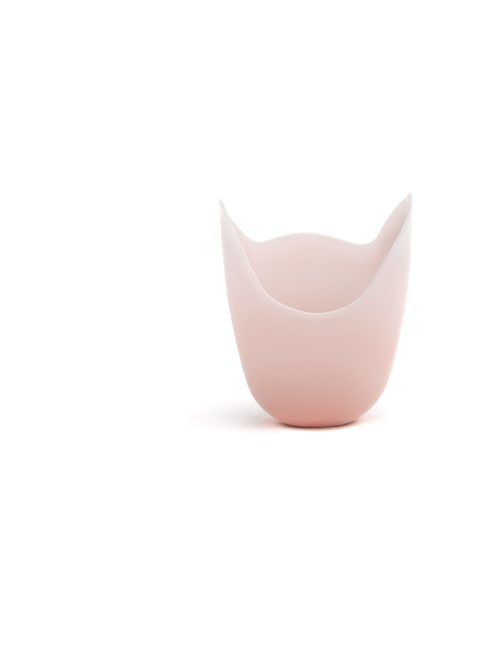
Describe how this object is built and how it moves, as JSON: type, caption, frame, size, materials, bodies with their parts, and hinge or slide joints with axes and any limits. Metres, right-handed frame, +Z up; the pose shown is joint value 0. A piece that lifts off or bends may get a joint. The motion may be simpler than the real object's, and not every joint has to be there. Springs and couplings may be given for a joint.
{
  "type": "silicone toe pad",
  "caption": "Hollow silicone gel pad for the toes: thick closed toe, thin oval wall, tall side wings, deep front dip and a wavy back edge.",
  "frame": {"origin": "middle of the small flat platform at the closed toe, which the pad stands on", "axes": "+Z up from the closed toe to the open mouth, +X from the left wing to the right wing, +Y to the back edge with the tongue"},
  "size_m": [0.0794, 0.0383, 0.0949],
  "materials": {
    "silicone_gel": "satin translucent pale pink silicone gel"
  },
  "bodies": {
    "root": {"toe_pad": "silicone_gel"}
  },
  "joints": []
}
